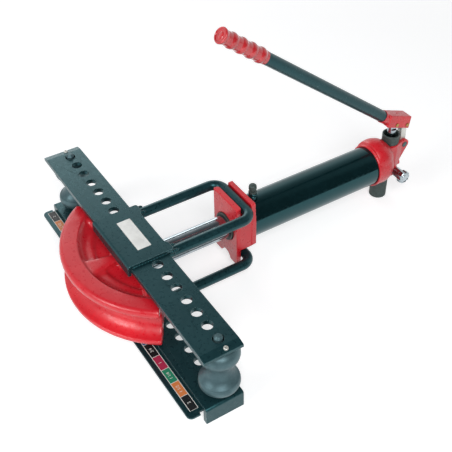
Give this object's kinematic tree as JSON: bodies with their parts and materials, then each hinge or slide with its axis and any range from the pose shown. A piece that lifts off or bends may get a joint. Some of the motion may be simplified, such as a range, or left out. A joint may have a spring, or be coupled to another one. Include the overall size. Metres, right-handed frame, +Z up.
{
  "type": "hydraulic pipe bender",
  "caption": "Bench pipe bender: a hand pump drives a ram and grooved former between two wing plates whose pinned rollers hold the tube",
  "frame": {"origin": "on the floor, under the middle of the machine's outline", "axes": "+X from the former to the pump, +Y along the wings towards the far roller, +Z up"},
  "size_m": [0.812, 0.6692, 0.5384],
  "materials": {
    "green_paint": "satin dark green paint",
    "gloss_green": "glossy black-green paint",
    "red_casting": "glossy red paint on a casting",
    "chrome": "hard chrome",
    "steel": "turned steel, grey-green",
    "dark_steel": "blackened steel",
    "bronze": "bearing bronze",
    "zinc": "zinc plate",
    "rubber": "black rubber",
    "red_grip": "moulded red grip"
  },
  "bodies": {
    "machine": {"lower_wing": "green_paint", "lower_saddle": "green_paint", "lower_u_bar": "green_paint", "label_rail": "green_paint", "near_roller_pin": "steel", "far_roller_pin": "steel", "yoke_block": "red_casting", "gland_nut": "dark_steel", "rod_wiper": "rubber", "rod_seal": "rubber", "guide_bush": "bronze", "cylinder_tube": "gloss_green", "inner_barrel": "steel", "front_o_ring": "rubber", "rear_o_ring": "rubber", "vent_boss": "gloss_green", "pump_body": "red_casting", "pump_gland": "dark_steel", "plunger_seal": "rubber", "lug_pin": "steel", "outlet_ball": "steel", "outlet_spring": "steel", "outlet_retainer": "steel", "inlet_ball": "steel", "spring_anchor": "steel", "rear_foot": "rubber", "foot_bolt": "zinc"},
    "ram": {"ram": "chrome", "piston": "steel", "piston_seal": "rubber", "return_spring": "steel", "former": "red_casting"},
    "upper_frame": {"upper_wing": "green_paint", "upper_saddle": "green_paint", "upper_u_bar": "green_paint", "wing_end_screws": "zinc"},
    "near_roller": {"near_roller": "steel", "near_roller_bush": "bronze"},
    "far_roller": {"far_roller": "steel", "far_roller_bush": "bronze"},
    "link": {"link_bar": "zinc"},
    "lever": {"lever_head": "red_casting", "handle_tube": "green_paint", "handle_grip": "red_grip", "link_pin": "bronze", "plunger_pin": "bronze"},
    "plunger": {"pump_plunger": "chrome"},
    "release_valve": {"valve_stem": "chrome", "valve_knob": "chrome"},
    "vent": {"vent_screw": "dark_steel"}
  },
  "joints": [
    {"name": "ram_slide", "type": "slide", "parent": "machine", "child": "ram", "axis": [-1, 0, 0], "range_m": [-0.182, 0.025], "deforming": ["return_spring"]},
    {"name": "frame_swing", "type": "hinge", "parent": "machine", "child": "upper_frame", "pos_m": [-0.0435, 0, 0.1565], "axis": [0, 1, 0], "range_deg": [0, 90]},
    {"name": "near_roller_spin", "type": "hinge", "parent": "machine", "child": "near_roller", "pos_m": [-0.266, -0.2971, 0.0975], "axis": [0, 0, 1], "continuous": true},
    {"name": "far_roller_spin", "type": "hinge", "parent": "machine", "child": "far_roller", "pos_m": [-0.266, 0.2971, 0.0975], "axis": [0, 0, 1], "continuous": true},
    {"name": "link_swing", "type": "hinge", "parent": "machine", "child": "link", "pos_m": [0.394, 0, 0.127], "axis": [0, 1, 0], "range_deg": [-0.5, 2]},
    {"name": "lever_swing", "type": "hinge", "parent": "link", "child": "lever", "pos_m": [0.392, 0, 0.18], "axis": [0, 1, 0], "range_deg": [-30, 6]},
    {"name": "plunger_slide", "type": "slide", "parent": "machine", "child": "plunger", "axis": [0, 0, 1], "range_m": [-0.0158, 0.0034]},
    {"name": "release_valve_turn", "type": "hinge", "parent": "machine", "child": "release_valve", "pos_m": [0.368, -0.04, 0.07], "axis": [0, -1, 0], "range_deg": [0, 270]},
    {"name": "vent_screw_turn", "type": "hinge", "parent": "machine", "child": "vent", "pos_m": [-0.001, 0, 0.155], "axis": [0, 0, 1], "range_deg": [0, 270]}
  ],
  "couplings": [
    {"joint": "link_swing", "follows": "lever_swing", "ratio": -0.06},
    {"joint": "plunger_slide", "follows": "lever_swing", "m_per_rad": 0.0294}
  ]
}
